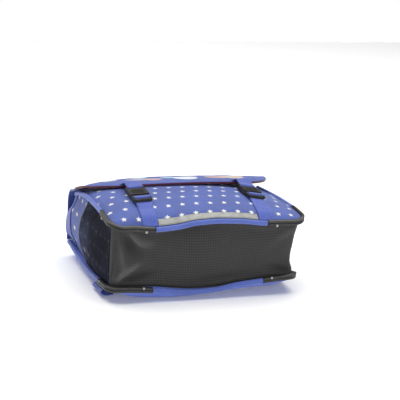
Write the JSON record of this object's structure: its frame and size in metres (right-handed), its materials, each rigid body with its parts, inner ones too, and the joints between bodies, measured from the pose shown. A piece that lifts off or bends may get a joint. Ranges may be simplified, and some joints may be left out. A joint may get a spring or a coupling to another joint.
{
  "type": "school ransel",
  "caption": "School satchel lying on its back: domed star-print front under a buckled flap, dark base with ridged corner guards, mesh side pockets, shoulder straps folded beneath.",
  "frame": {"origin": "on the ground under the middle of the box round the bag as it lies on its back", "axes": "+X across the bag, +Y from the bottom face to the top end with the handle, +Z from the back up to the front"},
  "size_m": [0.397, 0.3366, 0.19],
  "materials": {
    "star_cloth": "blue polyester with a light star print",
    "blue_cloth": "plain blue polyester",
    "blue_webbing": "ribbed webbing and edge binding",
    "black_weave": "coarse black weave",
    "black_mesh": "fine black mesh",
    "red_cloth": "dark red lining",
    "reflective": "grey reflective tape",
    "black_rubber": "moulded ridged edge guard",
    "black_plastic": "moulded buckle plastic",
    "nickel": "nickel-plated rivet"
  },
  "bodies": {
    "root": {"back_panel": "blue_cloth", "front_panel": "star_cloth", "bottom_panel": "black_weave", "side_panel_left": "star_cloth", "side_panel_right": "star_cloth", "side_band_left": "blue_webbing", "side_band_right": "blue_webbing", "mesh_pocket_left": "black_mesh", "mesh_pocket_right": "black_mesh", "pocket_binding_left": "black_mesh", "pocket_binding_right": "black_mesh", "front_piping_bottom": "blue_webbing", "front_piping_left": "blue_webbing", "front_piping_right": "blue_webbing", "back_piping_bottom": "blue_webbing", "back_piping_left": "blue_webbing", "back_piping_right": "blue_webbing", "corner_guard_front_left": "black_rubber", "corner_guard_front_right": "black_rubber", "corner_guard_back_left": "black_rubber", "corner_guard_back_right": "black_rubber", "rivet_1": "nickel", "rivet_2": "nickel", "rivet_3": "nickel", "rivet_4": "nickel", "rivet_5": "nickel", "rivet_6": "nickel", "rivet_7": "nickel", "rivet_8": "nickel", "flap": "blue_cloth", "flap_lining": "red_cloth", "flap_binding": "blue_webbing", "front_strap_left": "blue_webbing", "front_strap_right": "blue_webbing", "flap_strap_left": "blue_webbing", "flap_strap_right": "blue_webbing", "buckle_prong_left": "black_plastic", "buckle_prong_right": "black_plastic", "buckle_socket_left": "black_plastic", "buckle_socket_right": "black_plastic", "reflective_strip": "reflective", "shoulder_strap_left": "blue_cloth", "shoulder_strap_right": "blue_cloth", "strap_webbing_left": "blue_webbing", "strap_webbing_right": "blue_webbing", "strap_adjuster_left": "black_plastic", "strap_adjuster_right": "black_plastic", "strap_tab_left": "blue_webbing", "strap_tab_right": "blue_webbing", "handle": "blue_webbing"}
  },
  "joints": []
}
